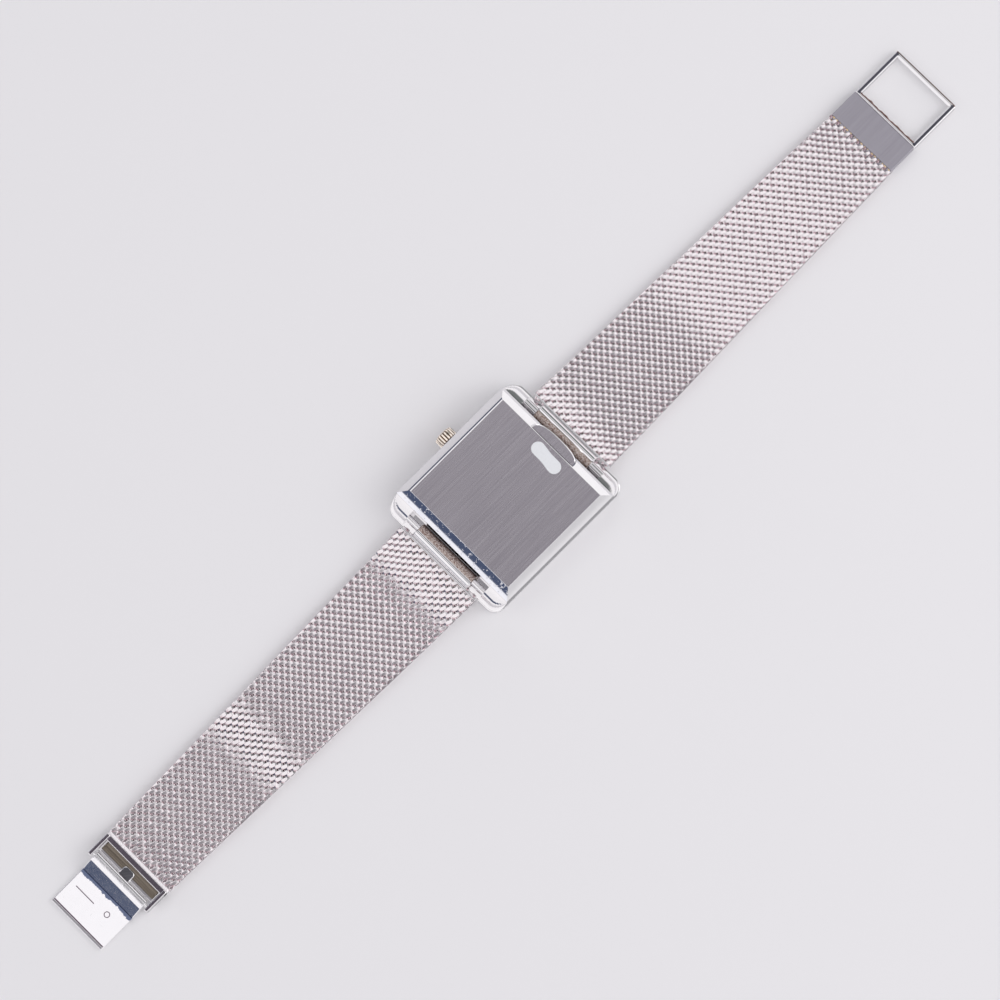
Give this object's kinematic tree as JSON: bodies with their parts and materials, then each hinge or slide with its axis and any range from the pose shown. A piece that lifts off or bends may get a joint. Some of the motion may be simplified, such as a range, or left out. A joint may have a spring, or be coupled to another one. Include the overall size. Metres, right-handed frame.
{
  "type": "rectangular wristwatch",
  "caption": "Slim rectangular wristwatch with a press-fit bevelled back, side crown, tapered woven steel strap, open frame and folding hook clasp, lying open on its face.",
  "frame": {"origin": "the centre of the glass's outer face, which is the plane that the open watch lies on", "axes": "+X along the strap to the twelve o'clock end, +Y across the strap to the crown, +Z from the glass to the back"},
  "size_m": [0.1927, 0.0267, 0.0066],
  "materials": {
    "polished_steel": "mirror polished stainless steel",
    "brushed_steel": "long straight brushing",
    "woven_steel": "woven and flattened steel wire",
    "crown_metal": "polished, pale warm plating",
    "glass": "flat mineral glass",
    "gasket": "moulded",
    "gasket_clear": "translucent nylon",
    "spacer": "moulded",
    "dial": "sunray lacquer",
    "hands": "satin lacquer",
    "movement_brass": "plated and stamped",
    "wheel_brass": "cut gear brass",
    "coil_copper": "enamelled copper wire",
    "core_metal": "annealed soft magnetic sheet",
    "circuit": "flexible circuit film",
    "chip_black": "epoxy",
    "clasp_dark": "tarnished spring steel"
  },
  "bodies": {
    "case": {"case_front": "polished_steel", "crystal": "glass", "crystal_gasket": "gasket_clear", "case_back": "brushed_steel", "back_gasket": "gasket", "crown_tube": "polished_steel", "movement_ring": "spacer", "dial": "dial", "hour_markers": "polished_steel", "main_plate": "movement_brass", "train_bridge": "movement_brass", "movement_screws": "polished_steel", "battery": "polished_steel", "battery_clamp": "movement_brass", "circuit_board": "circuit", "chip": "chip_black", "quartz_can": "polished_steel", "coil": "coil_copper", "coil_core": "core_metal", "stator": "core_metal", "spring_bar_12": "polished_steel", "spring_bar_6": "polished_steel"},
    "crown_seal": {"crown_seal": "gasket"},
    "crown": {"crown": "crown_metal", "stem": "polished_steel"},
    "sliding_pinion": {"sliding_pinion": "polished_steel"},
    "setting_lever": {"setting_lever": "polished_steel"},
    "minute_hand": {"minute_hand": "hands", "cannon_pinion": "polished_steel"},
    "minute_wheel": {"minute_wheel": "wheel_brass"},
    "hour_hand": {"hour_hand": "hands", "hour_wheel": "wheel_brass"},
    "centre_wheel": {"centre_wheel": "wheel_brass"},
    "third_wheel": {"third_wheel": "wheel_brass"},
    "intermediate_wheel": {"intermediate_wheel": "wheel_brass"},
    "rotor": {"rotor": "core_metal"},
    "strap_12_1": {"mesh_12_1": "woven_steel", "end_link_12": "polished_steel"},
    "strap_12_2": {"mesh_12_2": "woven_steel"},
    "strap_12_3": {"mesh_12_3": "woven_steel"},
    "strap_12_4": {"mesh_12_4": "woven_steel"},
    "strap_12_5": {"mesh_12_5": "woven_steel"},
    "strap_12_6": {"mesh_12_6": "woven_steel", "loop_plate": "brushed_steel", "loop_frame": "polished_steel"},
    "strap_6_1": {"mesh_6_1": "woven_steel", "end_link_6": "polished_steel"},
    "strap_6_2": {"mesh_6_2": "woven_steel"},
    "strap_6_3": {"mesh_6_3": "woven_steel"},
    "strap_6_4": {"mesh_6_4": "woven_steel"},
    "strap_6_5": {"mesh_6_5": "woven_steel"},
    "strap_6_6": {"mesh_6_6": "woven_steel", "clasp_box": "polished_steel", "clasp_leaf": "clasp_dark", "clasp_catch": "clasp_dark", "clasp_pin": "polished_steel"},
    "clasp_hook": {"clasp_hook": "polished_steel"}
  },
  "joints": [
    {"name": "crown_pull", "type": "slide", "parent": "case", "child": "crown_seal", "axis": [0, 1, 0], "range_m": [0, 0.0005]},
    {"name": "crown_turn", "type": "hinge", "parent": "crown_seal", "child": "crown", "pos_m": [0, 0.0126, 0.0032], "axis": [0, 1, 0], "continuous": true},
    {"name": "sliding_pinion_shift", "type": "slide", "parent": "crown", "child": "sliding_pinion", "axis": [0, -1, 0], "range_m": [0, 0.0009]},
    {"name": "setting_lever_swing", "type": "hinge", "parent": "case", "child": "setting_lever", "pos_m": [0.0025, 0.0066, 0.0041], "axis": [0, 0, -1], "range_deg": [0, 11.47]},
    {"name": "minute_hand_turn", "type": "hinge", "parent": "case", "child": "minute_hand", "pos_m": [0, 0, 0.0014], "axis": [0, 0, 1], "continuous": true},
    {"name": "minute_wheel_turn", "type": "hinge", "parent": "case", "child": "minute_wheel", "pos_m": [0, 0.0024, 0.0029], "axis": [0, 0, 1], "continuous": true},
    {"name": "hour_hand_turn", "type": "hinge", "parent": "case", "child": "hour_hand", "pos_m": [0, 0, 0.0018], "axis": [0, 0, 1], "continuous": true},
    {"name": "third_wheel_turn", "type": "hinge", "parent": "case", "child": "third_wheel", "pos_m": [0.00279, -0.00195, 0.0042], "axis": [0, 0, 1], "continuous": true},
    {"name": "centre_wheel_turn", "type": "hinge", "parent": "case", "child": "centre_wheel", "pos_m": [0, 0, 0.0038], "axis": [0, 0, 1], "continuous": true},
    {"name": "intermediate_wheel_turn", "type": "hinge", "parent": "case", "child": "intermediate_wheel", "pos_m": [0.0056, -0.00092, 0.00465], "axis": [0, 0, 1], "continuous": true},
    {"name": "rotor_turn", "type": "hinge", "parent": "case", "child": "rotor", "pos_m": [0.00623, -0.00324, 0.0043], "axis": [0, 0, 1], "continuous": true},
    {"name": "strap_12_pivot", "type": "hinge", "parent": "case", "child": "strap_12_1", "pos_m": [0.0133, 0, 0.0023], "axis": [0, -1, 0], "range_deg": [0, 45]},
    {"name": "strap_12_bend_1", "type": "hinge", "parent": "strap_12_1", "child": "strap_12_2", "pos_m": [0.0261, 0, 0.00065], "axis": [0, -1, 0], "range_deg": [0, 17]},
    {"name": "strap_12_bend_2", "type": "hinge", "parent": "strap_12_2", "child": "strap_12_3", "pos_m": [0.0372, 0, 0.00065], "axis": [0, -1, 0], "range_deg": [0, 17]},
    {"name": "strap_12_bend_3", "type": "hinge", "parent": "strap_12_3", "child": "strap_12_4", "pos_m": [0.0483, 0, 0.00065], "axis": [0, -1, 0], "range_deg": [0, 17]},
    {"name": "strap_12_bend_4", "type": "hinge", "parent": "strap_12_4", "child": "strap_12_5", "pos_m": [0.0594, 0, 0.00065], "axis": [0, -1, 0], "range_deg": [0, 17]},
    {"name": "strap_12_bend_5", "type": "hinge", "parent": "strap_12_5", "child": "strap_12_6", "pos_m": [0.0705, 0, 0.00065], "axis": [0, -1, 0], "range_deg": [0, 17]},
    {"name": "strap_6_pivot", "type": "hinge", "parent": "case", "child": "strap_6_1", "pos_m": [-0.0133, 0, 0.0023], "axis": [0, 1, 0], "range_deg": [0, 45]},
    {"name": "strap_6_bend_1", "type": "hinge", "parent": "strap_6_1", "child": "strap_6_2", "pos_m": [-0.0261, 0, 0.00065], "axis": [0, 1, 0], "range_deg": [0, 17]},
    {"name": "strap_6_bend_2", "type": "hinge", "parent": "strap_6_2", "child": "strap_6_3", "pos_m": [-0.0372, 0, 0.00065], "axis": [0, 1, 0], "range_deg": [0, 17]},
    {"name": "strap_6_bend_3", "type": "hinge", "parent": "strap_6_3", "child": "strap_6_4", "pos_m": [-0.0483, 0, 0.00065], "axis": [0, 1, 0], "range_deg": [0, 17]},
    {"name": "strap_6_bend_4", "type": "hinge", "parent": "strap_6_4", "child": "strap_6_5", "pos_m": [-0.0594, 0, 0.00065], "axis": [0, 1, 0], "range_deg": [0, 17]},
    {"name": "strap_6_bend_5", "type": "hinge", "parent": "strap_6_5", "child": "strap_6_6", "pos_m": [-0.0705, 0, 0.00065], "axis": [0, 1, 0], "range_deg": [0, 17]},
    {"name": "clasp_hook_fold", "type": "hinge", "parent": "strap_6_6", "child": "clasp_hook", "pos_m": [-0.0859, 0, 0.0019], "axis": [0, 1, 0], "range_deg": [0, 178]}
  ],
  "couplings": [
    {"joint": "sliding_pinion_shift", "follows": "crown_pull", "ratio": 1.8},
    {"joint": "setting_lever_swing", "follows": "crown_pull", "rad_per_m": 400},
    {"joint": "minute_wheel_turn", "follows": "hour_hand_turn", "ratio": -4},
    {"joint": "minute_hand_turn", "follows": "hour_hand_turn", "ratio": 12},
    {"joint": "third_wheel_turn", "follows": "centre_wheel_turn", "ratio": -7.5},
    {"joint": "intermediate_wheel_turn", "follows": "centre_wheel_turn", "ratio": 30},
    {"joint": "rotor_turn", "follows": "centre_wheel_turn", "ratio": -90},
    {"joint": "strap_12_bend_2", "follows": "strap_12_bend_1", "ratio": 1},
    {"joint": "strap_12_bend_3", "follows": "strap_12_bend_1", "ratio": 1},
    {"joint": "strap_12_bend_4", "follows": "strap_12_bend_1", "ratio": 1},
    {"joint": "strap_12_bend_5", "follows": "strap_12_bend_1", "ratio": 1},
    {"joint": "strap_6_bend_2", "follows": "strap_6_bend_1", "ratio": 1},
    {"joint": "strap_6_bend_3", "follows": "strap_6_bend_1", "ratio": 1},
    {"joint": "strap_6_bend_4", "follows": "strap_6_bend_1", "ratio": 1},
    {"joint": "strap_6_bend_5", "follows": "strap_6_bend_1", "ratio": 1}
  ]
}
